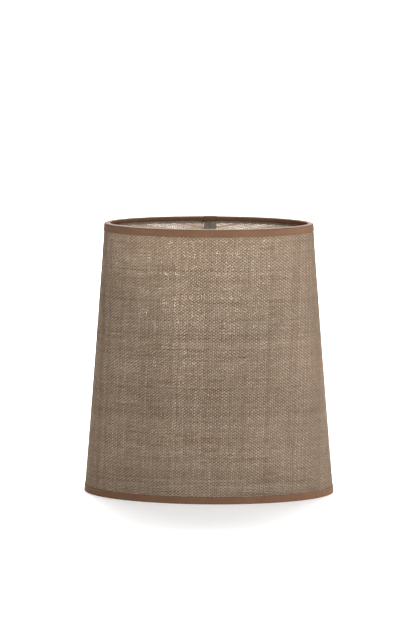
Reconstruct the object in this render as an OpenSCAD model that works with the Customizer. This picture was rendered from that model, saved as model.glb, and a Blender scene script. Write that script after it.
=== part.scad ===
// Oval tapered lamp shade: woven panel on a clear film, bound wire rings, recessed ring fitter.
// Millimetres. +Z up, origin on the base plane under the middle of the oval.
// +X runs along the oval's long axis, -Y is the front, and the panel's lap is at the back.

/* [Shade] */
// Overall height, from the lower binding's edge to the upper binding's edge
height = 218; // [170:1:280]
// Width of the base over its binding, along the oval's long axis
bottom_w = 200; // [165:1:250]
// Depth of the base over its binding, along the oval's short axis
bottom_d = 80; // [70:1:110]
// Width of the top over its binding; the top has the base's proportions
top_w = 164; // [136:1:198]

/* [Panel] */
// Thickness of the woven fabric
fabric_t = 0.45; // [0.3:0.05:0.8]
// Thickness of the clear film that stiffens the fabric
film_t = 0.25; // [0.15:0.05:0.5]
// Width of the lap where the panel's ends meet
lap_w = 12; // [8:1:20]
// Thickness of the double-sided tape in the lap
lap_tape_t = 0.15; // [0.1:0.05:0.3]
// Length over which the panel's inner end comes back out to the wall
lap_ramp_w = 6; // [4:1:12]

/* [Rings] */
// Diameter of the wire in the upper and lower rings
ring_wire_d = 2.4; // [2:0.1:3.2]

/* [Binding] */
// Thickness of the binding tape
tape_t = 0.45; // [0.3:0.05:0.6]
// Height of the binding's outer leg
tape_out_h = 6; // [4:0.5:10]
// Width over which the tape's two ends cover each other
tape_lap_w = 12; // [8:1:20]
// Radius of the fold's two outer corners, with a flat land between them
fold_r = 1; // [0.8:0.05:1.2]

/* [Fitter] */
// Bore of the ring that sits on the lampholder
fitter_bore_d = 41; // [28:0.5:42]
// Width of the metal around that bore
fitter_rim_w = 3.6; // [3:0.1:5]
// Thickness of the fitter's plate
fitter_plate_t = 1.6; // [1:0.1:2.5]
// Height of the plate's underside above the base
fitter_rise = 30; // [18:1:60]
// Diameter of the four arms' wire
arm_wire_d = 2.4; // [2:0.1:3]
// How deep an arm's end is melted into the metal that it is welded to
weld_depth = 0.5; // [0.3:0.1:0.8]

/* [Fits] */
// Room between the ring's wire, the panel and the binding
ring_gap = 0.15; // [0.1:0.05:0.3]
// Room between the panel's inner end and the binding, measured upright
lap_gap = 1; // [0.5:0.1:2]

/* [Hidden] */

$fn = 96;
// Stations along a full turn of the oval, sides of a round wire, and steps in a rounded corner
STATIONS = 96;
WIRE_SIDES = 12;
CORNER_STEPS = 2;
// Cuts run this far past the faces that they open
OVERRUN = 1;
// Length over which a second layer steps down to the first
STEP_W = 0.3;
// How far the arms are ground back from the edge of the fitter's seat
SEAT_ROOM = 0.1;

ring_wire_r = ring_wire_d / 2;
arm_wire_r = arm_wire_d / 2;
bore_r = fitter_bore_d / 2;
panel_t = fabric_t + film_t;

// Insets, all measured from the binding's outer face along the oval's normal
panel_inset = tape_t + ring_gap;
wire_inset = panel_inset + panel_t + ring_gap + ring_wire_r;
fold_w = wire_inset + ring_wire_r + ring_gap + tape_t;

// Distances from the shade's lower or upper edge, upright
wire_end = tape_t + ring_gap + ring_wire_r;
panel_end = fold_r;
lap_end = tape_out_h + lap_gap;
roll_r = ring_wire_r + ring_gap + tape_t;

// Angles of the places at the back where the panel's lap and the tape's lap begin and end
lap_angle = asin(lap_w / bottom_w);
ramp_angle = asin((lap_w + 2 * lap_ramp_w) / bottom_w);
tape_lap_angle = asin(tape_lap_w / bottom_w);
step_angle = asin(2 * STEP_W / bottom_w);
BACK = 90;

COLOUR_FABRIC = [0.57, 0.49, 0.42];
COLOUR_FILM = [0.86, 0.84, 0.80, 0.5];
COLOUR_SEAM = [0.90, 0.88, 0.80];
COLOUR_TAPE = [0.47, 0.36, 0.28];
COLOUR_STEEL = [0.80, 0.80, 0.78];
COLOUR_WHITE = [0.93, 0.93, 0.91];

// Half width and half depth of the shade's outside at a height: an oval cone with one apex
function half_w(z) = (bottom_w + (top_w - bottom_w) * z / height) / 2;
function half_d(z) = half_w(z) * bottom_d / bottom_w;

// The point at height z that lies an inset inside the oval, at the oval's own angle t
function oval_point(t, inset, z) =
    let (
        a = half_w(z),
        b = half_d(z),
        across = norm([b * cos(t), a * sin(t)])
    )
    [a * cos(t) - inset * b * cos(t) / across, b * sin(t) - inset * a * sin(t) / across, z];

// Even steps from one angle to another, with both ends
function even_angles(from, to, steps) = [for (i = [0:steps]) from + (to - from) * i / steps];

// A flat loop of [inset, z] points is carried round the oval. section is a function of the
// station's angle, and always gives the same number of points. An open sweep gets end faces.
module sweep(angles, section, closed) {
    n = len(section(angles[0]));
    m = len(angles);
    points = [for (t = angles) for (p = section(t)) oval_point(t, p[0], p[1])];
    sides = [
        for (i = [0:(closed ? m - 1 : m - 2)], j = [0:n - 1])
            let (k = (i + 1) % m, l = (j + 1) % n)
            each [
                [i * n + j, k * n + l, k * n + j],
                [i * n + j, i * n + l, k * n + l]
            ]
    ];
    ends = closed ? [] : [
        [for (j = [n - 1:-1:0]) j],
        [for (j = [0:n - 1]) (m - 1) * n + j]
    ];
    polyhedron(points = points, faces = concat(sides, ends), convexity = 8);
}

// The panel's sheet starts at its inner end, ramps out to the wall, goes once round and covers
// its own beginning. Each of its layers has its own inset and thickness.
sheet_angles = concat(
    even_angles(BACK - lap_angle, BACK + lap_angle, 4),
    even_angles(BACK + ramp_angle, BACK + 360 - lap_angle, STATIONS),
    even_angles(BACK + 360 - lap_angle / 2, BACK + 360 + lap_angle, 3)
);

// 0 on the sheet's inner end under the lap, and 1 on the wall; the ramp is the step between them
function on_wall(t) = t > BACK + lap_angle + step_angle ? 1 : 0;

module sheet_layer(inset, thickness) {
    sweep(
        sheet_angles,
        function (t)
            let (
                outer = inset + (1 - on_wall(t)) * (panel_t + lap_tape_t),
                end = on_wall(t) * panel_end + (1 - on_wall(t)) * lap_end
            )
            [[outer, end], [outer + thickness, end],
             [outer + thickness, height - end], [outer, height - end]],
        false
    );
}

module textile_panel() {
    color(COLOUR_FABRIC)
        sheet_layer(panel_inset, fabric_t);
}

module liner_film() {
    color(COLOUR_FILM)
        sheet_layer(panel_inset + fabric_t, film_t);
}

module seam_tape() {
    near = panel_inset + panel_t;
    far = near + lap_tape_t;
    color(COLOUR_SEAM)
        sweep(
            even_angles(BACK - lap_angle, BACK + lap_angle, 4),
            function (t)
                [[near, lap_end], [far, lap_end], [far, height - lap_end], [near, height - lap_end]],
            false
        );
}

// A wire ring whose middle is at height z
module oval_ring(z) {
    section = [
        for (i = [0:WIRE_SIDES - 1])
            let (angle = -360 * i / WIRE_SIDES)
            [wire_inset + ring_wire_r * cos(angle), z - ring_wire_r * sin(angle)]
    ];
    sweep([for (i = [0:STATIONS - 1]) 360 * i / STATIONS], function (t) section, true);
}

module top_ring() {
    color(COLOUR_STEEL)
        oval_ring(height - wire_end);
}

module bottom_ring() {
    color(COLOUR_STEEL)
        oval_ring(wire_end);
}

// Points on an arc in section, with the angle counted from outwards to upwards
function section_arc(centre, r, from, to) =
    [for (angle = even_angles(from, to, CORNER_STEPS)) centre + r * [-cos(angle), sin(angle)]];

// The binding in section, with its fold on z = 0: an outer leg that lies on the panel, a fold with
// a flat land under the ring, and an inner end that rolls over the ring's wire. The outer leg is
// thicker by extra where the tape's ends cover each other.
function binding_section(extra) =
    let (
        near = [fold_r, fold_r],
        far = [fold_w - fold_r, fold_r],
        wire = [wire_inset, wire_end],
        inner_r = fold_r - tape_t
    )
    concat(
        [[-extra, tape_out_h], [-extra, fold_r + extra]],
        section_arc(near, fold_r, 0, -90),
        section_arc(far, fold_r, -90, -180),
        section_arc(wire, roll_r, 180, 90),
        section_arc(wire, roll_r - tape_t, 90, 180),
        section_arc(far, inner_r, -180, -90),
        section_arc(near, inner_r, -90, 0),
        [[tape_t, tape_out_h]]
    );

tape_angles = concat(
    even_angles(BACK - tape_lap_angle, BACK + tape_lap_angle, 4),
    even_angles(
        BACK + tape_lap_angle + step_angle, BACK + 360 - tape_lap_angle - step_angle, STATIONS
    )
);
function tape_extra(t) = t < BACK + tape_lap_angle + step_angle / 2 ? tape_t : 0;

module binding(upper) {
    sweep(
        tape_angles,
        function (t)
            let (loop = binding_section(tape_extra(t)), n = len(loop))
            upper
                ? [for (p = loop) [p[0], height - p[1]]]
                : [for (i = [n - 1:-1:0]) loop[i]],
        true
    );
}

module top_binding() {
    color(COLOUR_TAPE)
        binding(true);
}

module bottom_binding() {
    color(COLOUR_TAPE)
        difference() {
            binding(false);
            arm_wires(arm_wire_r + ring_gap);
        }
}

module fitter_ring() {
    color(COLOUR_WHITE)
        translate([0, 0, fitter_rise])
            difference() {
                cylinder(h = fitter_plate_t, r = bore_r + fitter_rim_w);
                translate([0, 0, -OVERRUN])
                    cylinder(h = fitter_plate_t + 2 * OVERRUN, r = bore_r);
            }
}

// A round wire between two points
module wire(from, to, r) {
    run = to - from;
    long = norm(run);
    translate(from)
        rotate([0, acos(run[2] / long), atan2(run[1], run[0])])
            cylinder(h = long, r = r);
}

// An arm's wire from the lower ring up to the fitter's rim: half is the oval's half axis there.
// Its end is ground off where it would stand under the plate, so that the plate's seat is clear.
module arm_wire(angle, half, r) {
    ring_at = half - wire_inset - ring_wire_r + weld_depth;
    rim_r = bore_r + fitter_rim_w;
    difference() {
        rotate([0, 0, angle])
            wire([ring_at, 0, wire_end], [rim_r - weld_depth, 0, fitter_rise + fitter_plate_t / 2], r);
        cylinder(h = fitter_rise, r = rim_r + SEAT_ROOM);
    }
}

RIGHT = 0;
LEFT = 180;
FRONT = 270;
long_half = half_w(wire_end);
short_half = half_d(wire_end);

module arm_wires(r) {
    arm_wire(RIGHT, long_half, r);
    arm_wire(LEFT, long_half, r);
    arm_wire(FRONT, short_half, r);
    arm_wire(BACK, short_half, r);
}

module arm_right() {
    color(COLOUR_WHITE)
        arm_wire(RIGHT, long_half, arm_wire_r);
}

module arm_left() {
    color(COLOUR_WHITE)
        arm_wire(LEFT, long_half, arm_wire_r);
}

module arm_front() {
    color(COLOUR_WHITE)
        arm_wire(FRONT, short_half, arm_wire_r);
}

module arm_back() {
    color(COLOUR_WHITE)
        arm_wire(BACK, short_half, arm_wire_r);
}

textile_panel();
liner_film();
seam_tape();
top_ring();
bottom_ring();
top_binding();
bottom_binding();
fitter_ring();
arm_left();
arm_right();
arm_front();
arm_back();
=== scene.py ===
"""An oval tapered lamp shade of open-weave cloth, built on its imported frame.

The cloth panel is laminated to a clear film, lapped and taped at the back, and held by two wire
rings inside a folded brown tape. A recessed steel ring on four wire arms sits on the lampholder.
Lengths are in metres unless a name ends in _mm.
"""
import logging
import math
from dataclasses import dataclass, field
from enum import Enum
from typing import Sequence, Union

import bpy
import numpy as np
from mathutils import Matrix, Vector, noise


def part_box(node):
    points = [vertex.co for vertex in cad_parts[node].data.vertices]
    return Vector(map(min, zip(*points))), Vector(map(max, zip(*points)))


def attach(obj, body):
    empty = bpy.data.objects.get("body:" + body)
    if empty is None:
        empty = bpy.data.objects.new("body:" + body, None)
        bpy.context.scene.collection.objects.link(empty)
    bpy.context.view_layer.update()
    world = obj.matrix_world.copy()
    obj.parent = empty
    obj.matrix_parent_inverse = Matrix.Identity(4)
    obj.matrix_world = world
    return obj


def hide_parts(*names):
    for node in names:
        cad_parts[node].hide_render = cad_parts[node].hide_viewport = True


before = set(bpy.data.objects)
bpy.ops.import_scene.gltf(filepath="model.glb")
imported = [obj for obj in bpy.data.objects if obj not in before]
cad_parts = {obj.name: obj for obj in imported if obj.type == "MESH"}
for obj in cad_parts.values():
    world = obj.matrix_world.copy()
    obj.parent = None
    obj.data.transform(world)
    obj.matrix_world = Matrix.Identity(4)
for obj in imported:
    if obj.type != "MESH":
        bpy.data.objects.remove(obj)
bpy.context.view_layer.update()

LOG = logging.getLogger("lamp_shade")

MM = 0.001
FULL_TURN = 2.0 * math.pi
BACK = 0.5 * math.pi
FRONT = 1.5 * math.pi

Colour = tuple[float, float, float]
TapePoint = tuple[float, float, float, float]


def srgb(red: int, green: int, blue: int) -> Colour:
    """Turn a colour given in display values from 0 to 255 into linear light.

    Args:
        red: The red value.
        green: The green value.
        blue: The blue value.

    Returns:
        The three linear values.
    """
    def linear(value: int) -> float:
        """Linear light of one display value."""
        share = value / 255.0
        return share / 12.92 if share <= 0.04045 else ((share + 0.055) / 1.055) ** 2.4

    return linear(red), linear(green), linear(blue)


# --- Materials: a thin layer over Blender's nodes -------------------------------------------------


class Signal:
    """A value that a node gives, on which arithmetic adds Math nodes."""

    def __init__(self, net: "Net", socket: bpy.types.NodeSocket) -> None:
        """Wrap an output socket of a net."""
        self.net = net
        self.socket = socket

    def __add__(self, other: "Operand") -> "Signal":
        """Sum."""
        return self.net.math("ADD", self, other)

    __radd__ = __add__

    def __sub__(self, other: "Operand") -> "Signal":
        """Difference."""
        return self.net.math("SUBTRACT", self, other)

    def __rsub__(self, other: "Operand") -> "Signal":
        """Difference with the signal on the right."""
        return self.net.math("SUBTRACT", other, self)

    def __mul__(self, other: "Operand") -> "Signal":
        """Product."""
        return self.net.math("MULTIPLY", self, other)

    __rmul__ = __mul__

    def __truediv__(self, other: "Operand") -> "Signal":
        """Quotient."""
        return self.net.math("DIVIDE", self, other)

    def __rtruediv__(self, other: "Operand") -> "Signal":
        """Quotient with the signal below the line."""
        return self.net.math("DIVIDE", other, self)

    def __neg__(self) -> "Signal":
        """The signal with its sign turned."""
        return self.net.math("MULTIPLY", self, -1.0)

    def __abs__(self) -> "Signal":
        """The signal without its sign."""
        return self.net.math("ABSOLUTE", self)

    def __lt__(self, other: "Operand") -> "Signal":
        """One where the signal is smaller, else zero."""
        return self.net.math("LESS_THAN", self, other)

    def __gt__(self, other: "Operand") -> "Signal":
        """One where the signal is larger, else zero."""
        return self.net.math("GREATER_THAN", self, other)

    def floor(self) -> "Signal":
        """The whole number below."""
        return self.net.math("FLOOR", self)

    def root(self) -> "Signal":
        """The square root, with nothing below zero."""
        return self.net.math("SQRT", self.at_least(0.0))

    def cosine(self) -> "Signal":
        """The cosine of the signal in radians."""
        return self.net.math("COSINE", self)

    def at_least(self, other: "Operand") -> "Signal":
        """The larger of the two."""
        return self.net.math("MAXIMUM", self, other)

    def at_most(self, other: "Operand") -> "Signal":
        """The smaller of the two."""
        return self.net.math("MINIMUM", self, other)

    def rise(self, low: float, high: float) -> "Signal":
        """A smooth step from 0 at low to 1 at high."""
        return self.net.node(
            "ShaderNodeMapRange",
            {"interpolation_type": "SMOOTHSTEP"},
            {"Value": self, "From Min": low, "From Max": high},
        )


Operand = Union[Signal, float]
Input = Union[Signal, float, Sequence[float]]


class Net:
    """The node tree of one material."""

    def __init__(self, name: str) -> None:
        """Start an empty material.

        Args:
            name: The material's name.
        """
        self.material = bpy.data.materials.new(name)
        self.material.use_nodes = True
        self.tree = self.material.node_tree
        self.tree.nodes.clear()

    def node(
        self,
        kind: str,
        settings: dict[str, object] | None = None,
        sockets: dict[Union[str, int], Input] | None = None,
        out: Union[str, int] = 0,
    ) -> Signal:
        """Add any node.

        Args:
            kind: The node's type name.
            settings: Its properties, set before its sockets.
            sockets: A value or a signal for each input, by name or number.
            out: The output that is wanted.

        Returns:
            The wanted output.
        """
        made = self.tree.nodes.new(kind)
        for key, value in (settings or {}).items():
            setattr(made, key, value)
        for key, value in (sockets or {}).items():
            if isinstance(value, Signal):
                self.tree.links.new(value.socket, made.inputs[key])
            else:
                made.inputs[key].default_value = value
        return Signal(self, made.outputs[out])

    def math(self, operation: str, *values: Operand) -> Signal:
        """A Math node on one or two values."""
        return self.node("ShaderNodeMath", {"operation": operation}, dict(enumerate(values)))

    def pick(self, chooser: Signal, low: Operand, high: Operand) -> Signal:
        """low where chooser is 0, high where it is 1, and a mix between."""
        return self.node(
            "ShaderNodeMix", {"data_type": "FLOAT"}, {0: chooser, 2: low, 3: high}
        )

    def blend(
        self, factor: Operand, first: Union[Signal, Colour], second: Union[Signal, Colour],
        how: str = "MIX",
    ) -> Signal:
        """Mix two colours.

        Args:
            factor: How much of the second shows.
            first: The first colour.
            second: The second colour.
            how: The blend mode.

        Returns:
            The mixed colour.
        """
        sides = [c if isinstance(c, Signal) else (*c, 1.0) for c in (first, second)]
        return self.node(
            "ShaderNodeMix",
            {"data_type": "RGBA", "blend_type": how},
            {0: factor, 6: sides[0], 7: sides[1]},
            out=2,
        )

    def along(self, map_name: str) -> tuple[Signal, Signal]:
        """Read a named map of the mesh.

        Args:
            map_name: The map's name.

        Returns:
            Its two coordinates, in metres of the flat piece.
        """
        place = self.node("ShaderNodeUVMap", {"uv_map": map_name})
        split = self.node("ShaderNodeSeparateXYZ", {}, {0: place})
        return split, Signal(self, split.socket.node.outputs[1])

    def place(self, x: Operand, y: Operand, z: Operand = 0.0) -> Signal:
        """A vector of three values."""
        return self.node("ShaderNodeCombineXYZ", {}, {0: x, 1: y, 2: z})

    def grain(
        self, where: Signal, scale: float = 1.0, detail: float = 0.0, rough: float = 0.5,
        flat: bool = True,
    ) -> Signal:
        """Soft noise from 0 to 1.

        Args:
            where: The coordinates.
            scale: Repeats per unit of the coordinates.
            detail: Finer octaves.
            rough: How strong they are.
            flat: Whether only two coordinates count.

        Returns:
            The noise's value.
        """
        return self.node(
            "ShaderNodeTexNoise",
            {"noise_dimensions": "2D" if flat else "3D"},
            {"Vector": where, "Scale": scale, "Detail": detail, "Roughness": rough},
        )

    def dice(self, number: Operand) -> tuple[Signal, Signal, Signal]:
        """Throw three random values that depend on a whole number only.

        Args:
            number: The whole number.

        Returns:
            The three values, from 0 to 1.
        """
        thrown = self.node(
            "ShaderNodeTexWhiteNoise", {"noise_dimensions": "1D"}, {"W": number}, out="Color"
        )
        split = self.node("ShaderNodeSeparateColor", {}, {0: thrown})
        outputs = split.socket.node.outputs
        return split, Signal(self, outputs[1]), Signal(self, outputs[2])

    def relief(self, height: Signal, deep: float) -> Signal:
        """A bumped normal from a height in units of deep metres."""
        return self.node(
            "ShaderNodeBump", {}, {"Strength": 1.0, "Distance": deep, "Height": height}
        )

    def surface(self, sockets: dict[Union[str, int], Input]) -> Signal:
        """A Principled surface with the given sockets."""
        return self.node("ShaderNodeBsdfPrincipled", {}, sockets)

    def done(self, shader: Signal) -> bpy.types.Material:
        """Connect the shader to the output.

        Args:
            shader: The finished shader.

        Returns:
            The material.
        """
        output = self.tree.nodes.new("ShaderNodeOutputMaterial")
        self.tree.links.new(shader.socket, output.inputs["Surface"])
        return self.material


WEAVE_MAP = "weave"
TAPE_MAP = "tape"


@dataclass(frozen=True)
class OpenWeave:
    """Coarse plain-woven cloth with light gaps: pale warp, browner slubbed weft, with painted shade
    in its valleys and painted light on one side of its crowns.
    """

    name: str = "open_weave"
    warp_pitch: float = 1.6 * MM
    weft_pitch: float = 1.15 * MM
    warp_skew: float = math.tan(math.radians(1.75))
    warp_cover: float = 0.60
    weft_cover: float = 0.735
    wander: float = 0.6
    wobble: float = 0.12
    thread_rise: float = 0.20 * MM
    lean_middle: float = 10.0 * MM
    lean_reach: float = 45.0 * MM
    # How much lighter the weft is painted where it lies in the gaps between warps: painted light.
    gap_painted_light: float = 0.5
    # How much lighter one side of each crown is painted than the other: a painted highlight and
    # painted shade.
    crown_painted_light: float = 0.24
    warp_pale: Colour = srgb(187, 172, 156)
    warp_dark: Colour = srgb(138, 125, 110)
    weft_pale: Colour = srgb(124, 106, 89)
    weft_dark: Colour = srgb(82, 64, 49)
    slub_brown: Colour = srgb(84, 56, 37)
    through: Colour = srgb(212, 195, 173)
    through_share: float = 0.42
    sway_scale: float = 38.0
    heave_scale: float = 31.0
    fray_scale: float = 330.0
    cloud_scale: float = 17.0
    thickness_spread: float = 0.14
    lone_spread: float = 0.5
    slub_depth: float = 0.85
    weft_seed: float = 4000.5
    crossing_seed: float = 613.0

    def dress(self) -> bpy.types.Material:
        """Make the cloth's material.

        Returns:
            The material, which reads the weave map.
        """
        net = Net(self.name)
        across, up = net.along(WEAVE_MAP)
        flat = net.place(across, up)
        sway = net.grain(flat, scale=self.sway_scale, detail=2.0) - 0.5
        heave = net.grain(net.place(across + 3.7, up), scale=self.heave_scale, detail=2.0) - 0.5
        warp_at = (across - self.warp_skew * up) / self.warp_pitch + sway * (2.0 * self.wander)
        weft_at = up / self.weft_pitch + heave * (2.0 * self.wander)
        warp_fray = net.grain(flat, scale=self.fray_scale) - 0.5
        weft_fray = net.grain(net.place(across, up + 1.3), scale=self.fray_scale + 30.0) - 0.5
        warp_at = warp_at + warp_fray * (2.0 * self.wobble)
        weft_at = weft_at + weft_fray * (2.0 * self.wobble)
        warp_no, weft_no = warp_at.floor(), weft_at.floor()
        from_warp, from_weft = warp_at - warp_no - 0.5, weft_at - weft_no - 0.5
        warp_thick, warp_tone, warp_shift = net.dice(warp_no)
        weft_thick, weft_tone, weft_shift = net.dice(weft_no + self.weft_seed)

        warp_run = net.grain(net.place(warp_no * 5.37 + 0.31, weft_at * 0.06), detail=2.0)
        weft_run = net.grain(net.place(warp_at * 0.055, weft_no * 7.13 + 0.47), detail=2.5)
        warp_slub, weft_slub = warp_run.rise(0.52, 0.78), weft_run.rise(0.53, 0.76)
        spread = self.thickness_spread
        warp_half = 0.5 * self.warp_cover + (warp_thick - 0.5) * spread + warp_slub * 0.08
        weft_half = 0.5 * self.weft_cover + (weft_thick - 0.5) * spread + weft_slub * 0.10
        warp_off = (from_warp + (warp_shift - 0.5) * 0.16) / warp_half
        weft_off = (from_weft + (weft_shift - 0.5) * 0.12) / weft_half
        in_warp, in_weft = abs(warp_off) < 1.0, abs(weft_off) < 1.0

        crossing = warp_no + weft_no
        turn = 1.0 - 2.0 * (crossing - 2.0 * (crossing * 0.5).floor())
        # lean tilts each crown's diagonal in the bump and also turns the side of the painted crown
        # light, one way on the shade's left and the other way on its right.
        lean = ((across - self.lean_middle) / self.lean_reach).at_least(-0.9).at_most(0.9)
        warp_wave = turn * ((from_weft + lean * from_warp) * math.pi).cosine()
        weft_wave = -turn * ((from_warp + lean * from_weft) * math.pi).cosine()
        warp_dome = (1.0 - warp_off * warp_off).root()
        weft_dome = (1.0 - weft_off * weft_off).root()
        warp_top = net.pick(in_warp, -2.5, warp_wave + 0.9 * warp_dome)
        weft_top = net.pick(in_weft, -2.5, weft_wave + 0.9 * weft_dome)
        height = warp_top.at_least(weft_top).at_least(-1.6)
        warp_shows = warp_top > weft_top
        solid = in_warp.at_least(in_weft)

        twist = net.grain(
            net.place(warp_at * 9.0 + weft_at * 5.0, weft_at * 2.1 - warp_at * 1.1),
            detail=2.0, rough=0.6,
        )
        warp_tint = net.blend(
            (warp_tone * 0.75 + warp_run * 0.6 - 0.2).at_least(0.0).at_most(1.0),
            self.warp_pale, self.warp_dark,
        )
        weft_tint = net.blend(
            (weft_tone * 0.75 + weft_run * 0.5 - 0.15).at_least(0.0).at_most(1.0),
            self.weft_pale, self.weft_dark,
        )
        weft_tint = net.blend(weft_slub * self.slub_depth, weft_tint, self.slub_brown)
        # Painted light: the weft is painted lighter where it runs in the gaps between warps, as if
        # its flanks caught the light.
        lift = abs(warp_off).rise(0.75, 1.25) * self.gap_painted_light + 1.0
        weft_tint = net.blend(1.0, weft_tint, net.place(lift, lift, lift), how="MULTIPLY")
        tint = net.blend(warp_shows, weft_tint, warp_tint)
        # Painted shade: the cloth is painted darker where its threads lie low, in the valleys and
        # gaps between crowns.
        painted_valley_shade = height.rise(-1.0, 1.4) * 0.30 + 0.76
        cloudy = net.grain(flat, scale=self.cloud_scale, detail=3.0) * 0.34 + 0.83
        lone, _, _ = net.dice(warp_no + weft_no * self.crossing_seed)
        lone_shade = lone * self.lone_spread + (1.0 - 0.5 * self.lone_spread)
        # Painted light and shade: each crown is painted lighter on one diagonal side and darker on
        # the other.
        painted_lit_side = 1.0 - weft_wave * self.crown_painted_light
        # shade multiplies the cloth's random tone (cloudy, twist and lone crossings) with the
        # painted valley shade and the painted crown light.
        shade = painted_valley_shade * cloudy * painted_lit_side * (twist * 0.36 + 0.82) * lone_shade
        tint = net.blend(1.0, tint, net.place(shade, shade, shade), how="MULTIPLY")

        normal = net.relief(height + twist * 0.5, self.thread_rise)
        cloth = net.surface({
            "Base Color": tint,
            "Roughness": 0.72 + 0.2 * twist,
            "Normal": normal,
            "Alpha": solid,
            "Specular IOR Level": 0.2,
        })
        glow = net.node("ShaderNodeBsdfTranslucent", {}, {"Color": (*self.through, 1.0)})
        clear = net.node("ShaderNodeBsdfTransparent", {}, {"Color": (1.0, 1.0, 1.0, 1.0)})
        lit = net.node("ShaderNodeMixShader", {}, {0: solid, 1: clear, 2: glow})
        mixed = net.node("ShaderNodeMixShader", {}, {0: self.through_share, 1: cloth, 2: lit})
        return net.done(mixed)


@dataclass(frozen=True)
class BindingTape:
    """Fine, flat brown cotton tape with a faint rib across and a soft sheen."""

    name: str = "binding_tape"
    rib: float = 0.42 * MM
    pale: Colour = srgb(118, 87, 65)
    dark: Colour = srgb(99, 71, 52)
    deep: float = 0.03 * MM

    def dress(self) -> bpy.types.Material:
        """Make the tape's material.

        Returns:
            The material, which reads the tape map.
        """
        net = Net(self.name)
        along, across = net.along(TAPE_MAP)
        flat = net.place(along, across)
        drift = net.grain(flat, scale=60.0, detail=2.0)
        fine = net.grain(net.place(along * 900.0, across * 5200.0), detail=2.0)
        warp = (along / self.rib * FULL_TURN + drift * 5.0).cosine()
        weft = (across / (0.55 * self.rib) * FULL_TURN + drift * 3.0).cosine()
        grid = warp * weft * 0.5 + 0.5
        worn = net.grain(flat, scale=140.0, detail=3.0)
        mix = (drift * 0.6 + worn * 0.5 - 0.05).at_least(0.0).at_most(1.0)
        tint = net.blend(mix, self.pale, self.dark)
        shade = 0.86 + 0.14 * grid * fine.rise(0.2, 0.8) + 0.06 * fine
        tint = net.blend(1.0, tint, net.place(shade, shade, shade), how="MULTIPLY")
        normal = net.relief(grid * 0.6 + fine * 0.8 + worn * 1.6, self.deep)
        return net.done(net.surface({
            "Base Color": tint,
            "Roughness": 0.62 + 0.18 * fine,
            "Normal": normal,
            "Specular IOR Level": 0.2,
        }))


@dataclass(frozen=True)
class ClearFilm:
    """Thin clear film with a satin face, which shows mainly by its gloss."""

    name: str = "clear_film"
    tint: Colour = (0.9, 0.88, 0.84)
    body: float = 0.16

    def dress(self) -> bpy.types.Material:
        """Make the film's material.

        Returns:
            The material, which reads the weave map.
        """
        net = Net(self.name)
        across, up = net.along(WEAVE_MAP)
        flat = net.place(across, up)
        ripple = net.grain(flat, scale=55.0, detail=2.0)
        specks = net.grain(flat, scale=900.0, detail=1.0)
        return net.done(net.surface({
            "Base Color": (*self.tint, 1.0),
            "Roughness": 0.26 + 0.14 * ripple,
            "Normal": net.relief(ripple + 0.04 * specks, 0.08 * MM),
            "Alpha": self.body + 0.04 * specks,
            "Specular IOR Level": 0.5,
        }))


@dataclass(frozen=True)
class Coating:
    """White baked coating on steel, with a faint orange-peel and rubbed spots."""

    name: str = "white_coating"
    clean: Colour = (0.82, 0.82, 0.80)
    rubbed: Colour = (0.62, 0.61, 0.58)
    roughness: float = 0.32

    def dress(self) -> bpy.types.Material:
        """Make the coating's material.

        Returns:
            The material, which reads the piece's own coordinates.
        """
        net = Net(self.name)
        where = net.node("ShaderNodeTexCoord", {}, {}, out="Object")
        peel = net.grain(where, scale=1100.0, detail=1.0, flat=False)
        rub = net.grain(where, scale=90.0, detail=4.0, flat=False).rise(0.56, 0.8)
        return net.done(net.surface({
            "Base Color": net.blend(rub * 0.5, self.clean, self.rubbed),
            "Roughness": self.roughness + 0.2 * rub + 0.06 * peel,
            "Normal": net.relief(peel, 0.02 * MM),
            "Coat Weight": 0.25,
            "Coat Roughness": 0.2,
        }))


@dataclass(frozen=True)
class PaleAdhesive:
    """Cream double-sided tape with a slight mottle of its glue."""

    name: str = "pale_adhesive"
    cream: Colour = (0.66, 0.62, 0.52)
    glue: Colour = (0.50, 0.45, 0.35)

    def dress(self) -> bpy.types.Material:
        """Make the adhesive's material.

        Returns:
            The material, which reads the piece's own coordinates.
        """
        net = Net(self.name)
        where = net.node("ShaderNodeTexCoord", {}, {}, out="Object")
        mottle = net.grain(where, scale=260.0, detail=4.0, flat=False)
        return net.done(net.surface({
            "Base Color": net.blend(mottle, self.cream, self.glue),
            "Roughness": 0.45 + 0.25 * mottle,
            "Normal": net.relief(mottle, 0.05 * MM),
        }))


@dataclass(frozen=True)
class PalePaper:
    """The plain floor: nearly white paper with a very faint tooth, on a softly lit table."""

    name: str = "pale_paper"
    white: Colour = (0.94, 0.94, 0.94)
    glow: float = 0.25

    def dress(self) -> bpy.types.Material:
        """Make the floor's material.

        Returns:
            The material.
        """
        net = Net(self.name)
        where = net.node("ShaderNodeTexCoord", {}, {}, out="Object")
        tooth = net.grain(where, scale=40.0, detail=3.0, flat=False)
        grey = 0.985 + 0.015 * tooth
        tint = net.blend(1.0, self.white, net.place(grey, grey, grey), how="MULTIPLY")
        return net.done(net.surface({
            "Base Color": tint,
            "Roughness": 0.85,
            "Emission Color": (1.0, 1.0, 1.0, 1.0),
            "Emission Strength": self.glow,
        }))


# --- The shade's form -----------------------------------------------------------------------------


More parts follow.
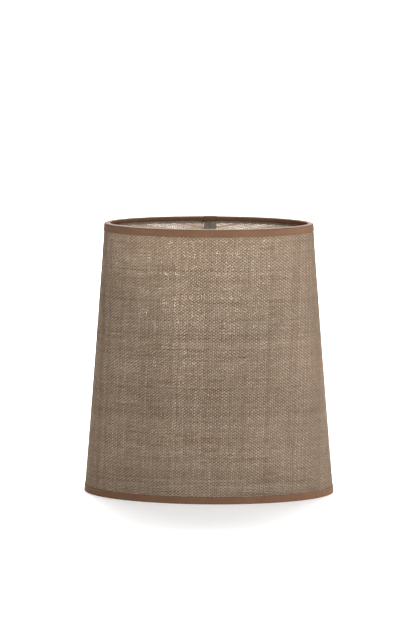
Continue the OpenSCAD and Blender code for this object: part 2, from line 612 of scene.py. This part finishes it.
@dataclass(frozen=True)
class ShadeForm:
    """An upright oval cone: every level has the base's proportions."""

    base_half_w: float
    base_half_d: float
    top_half_w: float
    height: float
    waist: float = 0.4 * MM
    slack: float = 0.10 * MM

    @classmethod
    def from_frame(cls, lap_rise: float, fold: float) -> "ShadeForm":
        """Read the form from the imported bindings, each of which is widest at its lower end.

        Args:
            lap_rise: How far the lower binding's lap stands out at the back.
            fold: How high the rounded fold of the lower binding reaches.

        Returns:
            The form.
        """
        low, low_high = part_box("bottom_binding")
        up, up_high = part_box("top_binding")
        height = up_high[2]
        widest_low, widest_up = (low_high[0] - low[0]) / 2, (up_high[0] - up[0]) / 2
        taper = (widest_low - widest_up) / (up[2] - fold)
        base_half_w = widest_low + taper * fold
        return cls(
            base_half_w=base_half_w,
            base_half_d=(low_high[1] - low[1] - lap_rise) / 2 * base_half_w / widest_low,
            top_half_w=base_half_w - taper * height,
            height=height,
        )

    def half_w(self, z: float) -> float:
        """Half the width at a height."""
        return self.base_half_w + (self.top_half_w - self.base_half_w) * z / self.height

    def half_d(self, z: float) -> float:
        """Half the depth at a height."""
        return self.half_w(z) * self.base_half_d / self.base_half_w

    def belly(self, angle: float, z: float) -> float:
        """How far the sheet lies inside the straight cone, from its waist and slight waves.

        Args:
            angle: The oval's own angle.
            z: The height.

        Returns:
            The distance, which is nothing at both rims.
        """
        share = max(0.0, 4.0 * z * (self.height - z) / self.height ** 2)
        wave = noise.noise(Vector((3.1 * math.cos(angle), 3.1 * math.sin(angle), 9.0 * z)))
        return share * (self.waist + self.slack * wave)

    def point(self, angle: float, inset: float, z: float) -> Vector:
        """A place on the oval at a height, moved inwards along the oval's normal.

        Args:
            angle: The oval's own angle, from the right-hand end.
            inset: The distance inside the binding's outer face.
            z: The height.

        Returns:
            The place.
        """
        a, b = self.half_w(z), self.half_d(z)
        c, s = math.cos(angle), math.sin(angle)
        across = math.hypot(b * c, a * s)
        inwards = inset + self.belly(angle, z)
        return Vector((a * c - inwards * b * c / across, b * s - inwards * a * s / across, z))

    def angle_across(self, half_width: float) -> float:
        """The oval's angle that spans half a width at the back or front of the base."""
        return math.asin(half_width / self.base_half_w)


class FlatCut:
    """The flat shape that the oval cone's sheet is cut to, laid out from the front's middle."""

    STEPS = 4000

    def __init__(self, form: ShadeForm, first: float, last: float) -> None:
        """Develop the cone between two angles of the oval.

        Args:
            form: The shade's form.
            first: The angle of the sheet's inner end.
            last: The angle of its outer end.
        """
        self.apex = form.height * form.base_half_w / (form.base_half_w - form.top_half_w)
        self.angles = np.linspace(first, last, self.STEPS + 1)
        x = form.base_half_w * np.cos(self.angles)
        y = form.base_half_d * np.sin(self.angles)
        self.reach = np.sqrt(x * x + y * y + self.apex ** 2)
        step = np.sqrt(np.diff(x) ** 2 + np.diff(y) ** 2 - np.diff(self.reach) ** 2)
        turn = np.concatenate([[0.0], np.cumsum(step / (self.reach[1:] + self.reach[:-1]) * 2.0)])
        self.turn = turn - np.interp(FRONT, self.angles, turn)
        self.front_reach = float(np.interp(FRONT, self.angles, self.reach))

    def place(self, angle: float, z: float) -> tuple[float, float]:
        """Where a point of the panel lies on the flat cut.

        Args:
            angle: The oval's own angle.
            z: The height.

        Returns:
            The distances to the right of and above the cut's middle, in metres.
        """
        reach = float(np.interp(angle, self.angles, self.reach)) * (1.0 - z / self.apex)
        turn = float(np.interp(angle, self.angles, self.turn))
        return reach * math.sin(turn), self.front_reach - reach * math.cos(turn)

    def area(self, low: float, high: float) -> float:
        """The cut's area between two heights.

        Args:
            low: The lower height.
            high: The upper height.

        Returns:
            The area.
        """
        mid = (self.reach[1:] + self.reach[:-1]) / 2
        sector = float((mid ** 2 * np.diff(self.turn)).sum()) / 2
        return sector * ((1.0 - low / self.apex) ** 2 - (1.0 - high / self.apex) ** 2)

    def size(self, low: float, high: float) -> tuple[float, float]:
        """The rectangle that the cut comes out of.

        Args:
            low: The height of its lower edge.
            high: The height of its upper edge.

        Returns:
            The width and the length.
        """
        corners = np.array([
            self.place(angle, z) for angle in self.angles[::50] for z in (low, high)
        ])
        return tuple(float(v) for v in np.ptp(corners, axis=0))


# --- Meshes ---------------------------------------------------------------------------------------


@dataclass
class Skin:
    """A grid of points that closes in one direction or both, with a flat map in metres."""

    name: str
    rows: list[list[Vector]]
    flat: list[list[tuple[float, float]]]
    map_name: str
    ring: bool = False
    loop: bool = True
    crease_degrees: float = 50.0

    def build(self) -> bpy.types.Object:
        """Make the mesh object, with end faces where an open run of closed loops ends.

        Returns:
            The object, linked into the scene.
        """
        n, m = len(self.rows[0]), len(self.rows)
        points = [p for row in self.rows for p in row]
        faces, corners = [], []
        for i in range(m if self.ring else m - 1):
            for j in range(n if self.loop else n - 1):
                k, l = (i + 1) % m, (j + 1) % n
                faces.append((i * n + j, k * n + j, k * n + l, i * n + l))
                corners += [self.flat[i][j], self.flat[k][j], self.flat[k][l], self.flat[i][l]]
        if self.loop and not self.ring:
            faces += [tuple(range(n - 1, -1, -1)), tuple((m - 1) * n + j for j in range(n))]
            corners += self.flat[0][::-1] + self.flat[-1]
        mesh = bpy.data.meshes.new(self.name)
        mesh.from_pydata(points, [], faces)
        layer = mesh.uv_layers.new(name=self.map_name)
        layer.uv.foreach_set("vector", [v for c in corners for v in c])
        mesh.polygons.foreach_set("use_smooth", [True] * len(faces))
        mesh.set_sharp_from_angle(angle=math.radians(self.crease_degrees))
        made = bpy.data.objects.new(self.name, mesh)
        bpy.context.collection.objects.link(made)
        return made


def even(first: float, last: float, steps: int) -> list[float]:
    """Even steps from one value to another, with both ends."""
    return [first + (last - first) * i / steps for i in range(steps + 1)]


def smooth(share: float) -> float:
    """An S-curve from 0 to 1, held outside."""
    share = min(1.0, max(0.0, share))
    return share * share * (3.0 - 2.0 * share)


# --- Sub-assemblies -------------------------------------------------------------------------------


@dataclass
class Panel:
    """The lapped sheet of cloth, the film on its inner face and the tape in its lap."""

    form: ShadeForm
    inset: float = 0.05 * MM
    cloth: float = 0.45 * MM
    film: float = 0.25 * MM
    glue: float = 0.15 * MM
    lap: float = 12.0 * MM
    ramp: float = 2.5 * MM
    edge: float = 1.0 * MM
    lap_edge: float = 5.0 * MM
    stations: int = 300
    levels: int = 48
    weave: OpenWeave = field(default_factory=OpenWeave)
    clear: ClearFilm = field(default_factory=ClearFilm)
    adhesive: PaleAdhesive = field(default_factory=PaleAdhesive)

    def __post_init__(self) -> None:
        """Work out the angles at which the lap and its ramp begin and end."""
        self.lap_angle = self.form.angle_across(self.lap / 2)
        self.ramp_angle = self.form.angle_across(self.lap / 2 + self.ramp)
        self.first = BACK - self.lap_angle
        self.last = BACK + FULL_TURN + self.lap_angle
        self.cut = FlatCut(self.form, self.first, self.last)

    def angles(self) -> list[float]:
        """The sheet's stations, from its inner end once round to its outer end."""
        return (
            even(self.first, BACK + self.lap_angle, 6)
            + even(BACK + self.lap_angle, BACK + self.ramp_angle, 6)[1:]
            + even(BACK + self.ramp_angle, BACK + FULL_TURN - self.lap_angle, self.stations)[1:]
            + even(BACK + FULL_TURN - self.lap_angle, self.last, 6)[1:]
        )

    def out_on_wall(self, angle: float) -> float:
        """0 under the lap, 1 on the wall, and a smooth rise on the ramp between."""
        start, end = BACK + self.lap_angle, BACK + self.ramp_angle
        return smooth((angle - start) / (end - start))

    def layer(self, name: str, inset: float, thick: float) -> Skin:
        """One layer of the laminate.

        Args:
            name: The piece's name.
            inset: The depth of its outer face under the binding's outer face.
            thick: Its thickness, or 0 for a single skin.

        Returns:
            The skin.
        """
        rows, flat = [], []
        for angle in self.angles():
            out = self.out_on_wall(angle)
            under = (1.0 - out) * (self.cloth + self.film + self.glue)
            trim = self.edge + (self.lap_edge - self.edge) * (1.0 if out < 0.5 else 0.0)
            levels = even(trim, self.form.height - trim, self.levels)
            row = [self.form.point(angle, inset + under, z) for z in levels]
            spots = [self.cut.place(angle, z) for z in levels]
            if thick:
                row += [self.form.point(angle, inset + under + thick, z) for z in levels[::-1]]
                spots += spots[::-1]
            rows.append(row)
            flat.append(spots)
        return Skin(name, rows, flat, WEAVE_MAP, ring=False, loop=bool(thick))

    def lap_strip(self) -> Skin:
        """The double-sided tape between the two ends of the sheet.

        Returns:
            The skin.
        """
        near = self.inset + self.cloth + self.film + 0.1 * self.glue
        levels = even(self.lap_edge, self.form.height - self.lap_edge, self.levels)
        rows, flat = [], []
        for angle in even(self.first, BACK + self.lap_angle, 6):
            out = [self.form.point(angle, near, z) for z in levels]
            back = [self.form.point(angle, near + 0.8 * self.glue, z) for z in levels[::-1]]
            spots = [self.cut.place(angle, z) for z in levels]
            rows.append(out + back)
            flat.append(spots + spots[::-1])
        return Skin("lap_strip", rows, flat, WEAVE_MAP)

    def declare(self, piece: bpy.types.Object, node: str) -> None:
        """Args:
            piece: The layer's object.
            node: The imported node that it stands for.
        """
        low, high = self.edge, self.form.height - self.edge
        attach(piece, "root")
        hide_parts(node)
        self.cut.size(low, high)
        self.cut.area(low, high)

    def build(self) -> None:
        """Make the cloth and the film, and dress them and the tape in the lap."""
        cloth = self.layer("cloth_panel", self.inset, self.cloth).build()
        cloth.data.materials.append(self.weave.dress())
        self.declare(cloth, "textile_panel")
        LOG.info("cloth panel: %d faces, cut %s m", len(cloth.data.polygons),
                 self.cut.size(self.edge, self.form.height - self.edge))
        film = self.layer("film_backing", self.inset + self.cloth + self.film / 4, 0.0).build()
        film.data.materials.append(self.clear.dress())
        self.declare(film, "liner_film")
        LOG.info("film backing: %d faces", len(film.data.polygons))
        strip = self.lap_strip().build()
        strip.data.materials.append(self.adhesive.dress())
        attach(strip, "root")
        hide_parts("seam_tape")
        self.form.height - 2 * self.lap_edge
        LOG.info("lap strip: %d faces", len(strip.data.polygons))


class Rim(Enum):
    """Which edge of the shade a binding is on."""

    LOWER = "bottom"
    UPPER = "top"


@dataclass
class Binding:
    """A tape folded over a wire ring, whose outer end covers its inner end at the back."""

    form: ShadeForm
    rim: Rim
    tape: float = 0.32 * MM
    proud: float = 0.28 * MM
    wire_inset: float = 2.65 * MM
    wire_rise: float = 1.8 * MM
    leg: float = 6.0 * MM
    fold: float = 1.0 * MM
    lap: float = 12.0 * MM
    lap_step: float = 1.2 * MM
    pucker: float = 0.07 * MM
    pucker_beat: float = 46.0
    wave_beat: float = 9.0
    end_clearance: float = 1.03
    tuck_end: float = 65.0
    fold_share: float = 0.36
    pressed: float = 0.35
    stations: int = 360
    finish: BindingTape = field(default_factory=BindingTape)

    def __post_init__(self) -> None:
        """Work out where the tape rolls over the wire."""
        self.roll = self.wire_rise
        self.width = self.wire_inset + self.roll

    def middle_line(self) -> list[TapePoint]:
        """The middle of the tape's thickness in section.

        Returns:
            (inset, rise, outward inset, outward rise) for each point, from the outer leg's edge
            over the fold to the end that is tucked over the ring.
        """
        half, near = self.tape / 2, self.fold - self.proud
        line = [(half - self.proud, rise, -1.0, 0.0) for rise in even(self.leg, self.fold, 9)]
        line += self.arc((near, self.fold), self.fold - half, 0.0, -90.0, 6)[1:]
        line += [(x, half, 0.0, -1.0) for x in even(near, self.width - self.fold, 3)[1:]]
        inner = (self.width - self.fold, self.fold)
        line += self.arc(inner, self.fold - half, -90.0, -180.0, 6)[1:]
        line += [
            (self.width - half, rise, 1.0, 0.0) for rise in even(self.fold, self.wire_rise, 2)[1:]
        ]
        wire = (self.wire_inset, self.wire_rise)
        return line + self.arc(wire, self.roll - half, 180.0, self.tuck_end, 11)[1:]

    @staticmethod
    def arc(
        centre: tuple[float, float], radius: float, first: float, last: float, steps: int
    ) -> list[TapePoint]:
        """Points on an arc in section, with the angle counted from outwards to upwards.

        Args:
            centre: The arc's centre, as inset and rise.
            radius: Its radius.
            first: The angle it starts at, in degrees.
            last: The angle it ends at.
            steps: How many parts it has.

        Returns:
            The points, with the direction out of the arc at each.
        """
        found = []
        for degrees in even(first, last, steps):
            x, y = -math.cos(math.radians(degrees)), math.sin(math.radians(degrees))
            found.append((centre[0] + radius * x, centre[1] + radius * y, x, y))
        return found

    def lift(self, angle: float) -> float:
        """How far the tape stands off because its outer end lies on its inner end.

        Args:
            angle: The oval's own angle.

        Returns:
            The distance.
        """
        lap_angle = self.form.angle_across(self.lap / 2)
        step = self.form.angle_across(self.lap_step)
        to_end = (BACK + FULL_TURN + lap_angle) - angle
        on_end = smooth((2 * lap_angle + step - to_end) / step)
        return self.tape * self.end_clearance * on_end

    def crumple(self, angle: float, share: float) -> float:
        """Small puckers of the tucked edge, stronger round the tight ends of the oval.

        Args:
            angle: The oval's own angle.
            share: How far across the tape, from its outer edge to the tucked one.

        Returns:
            The distance that the tape stands off.
        """
        tight, c, s = abs(math.cos(angle)) ** 3, math.cos(angle), math.sin(angle)
        wave = noise.noise(Vector((self.pucker_beat * c, self.pucker_beat * s, share)))
        wide = noise.noise(Vector((self.wave_beat * c, self.wave_beat * s, 5.0 + share)))
        return self.pucker * share * (wave * (0.35 + tight) + 0.7 * wide)

    def height_of(self, rise: float) -> float:
        """The height of a place that lies so far in from the rim's edge."""
        return rise if self.rim is Rim.LOWER else self.form.height - rise

    def skin(self, name: str) -> Skin:
        """The tape, closed all round its thickness.

        Args:
            name: The piece's name.

        Returns:
            The skin.
        """
        line = self.middle_line()
        runs = [0.0]
        for (x0, y0, *_), (x1, y1, *_) in zip(line, line[1:]):
            runs.append(runs[-1] + math.hypot(x1 - x0, y1 - y0))
        lap_angle = self.form.angle_across(self.lap / 2)
        first, last = BACK - lap_angle, BACK + FULL_TURN + lap_angle
        step = self.form.angle_across(self.lap_step)
        angles = (
            even(first, last - 2 * lap_angle - step, self.stations)
            + even(last - 2 * lap_angle - step, last - 2 * lap_angle, 4)[1:]
            + even(last - 2 * lap_angle, last, 8)[1:]
        )
        lowest = 0.0 if self.rim is Rim.LOWER else -self.tape * 2
        rows, flat, along, before = [], [], 0.0, None
        for angle in angles:
            here = self.form.point(angle, 0.0, self.height_of(self.leg / 2))
            along += (here - before).length if before is not None else 0.0
            before = here
            outer, inner = [], []
            for (x, y, nx, ny), run in zip(line, runs):
                share = run / runs[-1]
                off = self.lift(angle) * self.cover(share) + self.crumple(angle, share)
                for side, half in ((outer, self.tape / 2), (inner, -self.tape / 2)):
                    side.append(self.form.point(
                        angle, x + nx * (half + off),
                        self.height_of(max(lowest, y + ny * (half + off))),
                    ))
            rows.append(outer + inner[::-1])
            spots = [(along, run) for run in runs]
            flat.append(spots + spots[::-1])
        if self.rim is Rim.UPPER:
            rows, flat = [r[::-1] for r in rows], [f[::-1] for f in flat]
        self.length, self.cut_width = along, runs[-1]
        return Skin(name, rows, flat, TAPE_MAP)

    def cover(self, share: float) -> float:
        """Where across its width the outer end stands off: all of it, but less on a lower fold."""
        return 1.0 if self.rim is Rim.UPPER or share < self.fold_share else self.pressed

    def build(self) -> None:
        """Make the tape, dress it and log the size of its flat cut."""
        name = f"{self.rim.value}_tape"
        piece = self.skin(name).build()
        piece.data.materials.append(self.finish.dress())
        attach(piece, "root")
        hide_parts(f"{self.rim.value}_binding")
        LOG.info("%s: %.0f x %.1f mm", name, self.length / MM, self.cut_width / MM)


@dataclass
class Fitter:
    """The ring on the lampholder, its four arms and the wire rings of the rims."""

    finish: Coating = field(default_factory=Coating)

    def build(self) -> None:
        """Dress the steel pieces that the frame already holds."""
        coat = self.finish.dress()
        for node in ("fitter_ring", "arm_left", "arm_right", "arm_front", "arm_back",
                     "top_ring", "bottom_ring"):
            dress_node(node, coat)
            LOG.info("coated %s", node)


def dress_node(node: str, material: bpy.types.Material) -> None:
    """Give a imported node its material.

    Args:
        node: The node's name.
        material: The material for all of its faces.
    """
    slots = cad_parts[node].data.materials
    slots.clear()
    slots.append(material)


@dataclass(frozen=True)
class SoftBox:
    """A large rectangular lamp that faces the shade."""

    name: str
    place: tuple[float, float, float]
    size: tuple[float, float]
    power: float
    tint: Colour = (1.0, 1.0, 1.0)
    aim: tuple[float, float, float] = (0.0, 0.0, 0.1)

    def hang(self) -> None:
        """Put the lamp in the scene, turned to its aim."""
        lamp = bpy.data.lights.new(self.name, "AREA")
        lamp.shape, lamp.size, lamp.size_y = "RECTANGLE", *self.size
        lamp.energy, lamp.color = self.power, self.tint
        made = bpy.data.objects.new(self.name, lamp)
        made.location = self.place
        made.rotation_mode = "QUATERNION"
        made.rotation_quaternion = (Vector(self.aim) - Vector(self.place)).to_track_quat("-Z", "Y")
        bpy.context.collection.objects.link(made)


@dataclass
class Studio:
    """The floor, the lamps, the bright surround and the camera."""

    form: ShadeForm
    surround: float = 0.41
    floor_half: float = 9.0
    paper: PalePaper = field(default_factory=PalePaper)
    boxes: tuple[SoftBox, ...] = (
        SoftBox("key_box", (0.93, -0.78, 0.14), (0.6, 0.7), 17.0),
        SoftBox("back_box", (0.0, 3.0, 2.6), (2.4, 4.6), 300.0, aim=(0.0, 2.6, 0.0)),
        SoftBox("rear_box", (0.0, 1.2, 0.45), (0.9, 0.5), 12.0),
        SoftBox("front_box", (0.0, -0.6, 1.0), (1.4, 0.6), 1.8, aim=(0.0, -0.25, 0.0)),
    )
    azimuth: float = 1.81
    elevation: float = 13.07
    distance: float = 1.89
    lens: float = 137.4
    look_above: float = 37.4 * MM
    look_left: float = 0.60 * MM

    def lay_floor(self) -> None:
        """Lay the pale floor that the shade stands on."""
        h = self.floor_half
        mesh = bpy.data.meshes.new("floor")
        mesh.from_pydata([(-h, -h, 0), (h, -h, 0), (h, h, 0), (-h, h, 0)], [], [(0, 1, 2, 3)])
        mesh.materials.append(self.paper.dress())
        floor = bpy.data.objects.new("floor", mesh)
        bpy.context.collection.objects.link(floor)

    def light(self) -> None:
        """Light the world evenly and hang the soft boxes."""
        world = bpy.data.worlds.new("bright_surround")
        world.use_nodes = True
        sky = world.node_tree.nodes["Background"]
        sky.inputs["Color"].default_value = (1.0, 1.0, 1.0, 1.0)
        sky.inputs["Strength"].default_value = self.surround
        bpy.context.scene.world = world
        for box in self.boxes:
            box.hang()

    def point_camera(self) -> None:
        """Set the camera a little above the shade, on its front."""
        centre = Vector((0.0, 0.0, self.form.height / 2))
        a, e = math.radians(self.azimuth), math.radians(self.elevation)
        back = Vector((math.sin(a) * math.cos(e), -math.cos(a) * math.cos(e), math.sin(e)))
        lens = bpy.data.cameras.new("camera")
        lens.lens, lens.sensor_width = self.lens, 36.0
        camera = bpy.data.objects.new("camera", lens)
        camera.location = centre + back * self.distance
        aim = centre + Vector((-self.look_left, 0.0, self.look_above))
        camera.rotation_mode = "QUATERNION"
        camera.rotation_quaternion = (aim - camera.location).to_track_quat("-Z", "Y")
        bpy.context.collection.objects.link(camera)
        bpy.context.scene.camera = camera
        bpy.context.scene.view_settings.view_transform = "Standard"

    def build(self) -> None:
        """Lay the floor, light it and set the camera."""
        self.lay_floor()
        self.light()
        self.point_camera()
        LOG.info("studio ready")


def main() -> None:
    """Build the shade's sub-assemblies in order, and the studio round them."""
    logging.basicConfig(level=logging.INFO, format="%(name)s: %(message)s")
    form = ShadeForm.from_frame(lap_rise=0.45 * MM, fold=1.0 * MM)
    LOG.info("form: %s", form)
    Studio(form).build()
    Panel(form).build()
    for rim in Rim:
        Binding(form, rim).build()
    Fitter().build()


if __name__ == "__main__":
    main()
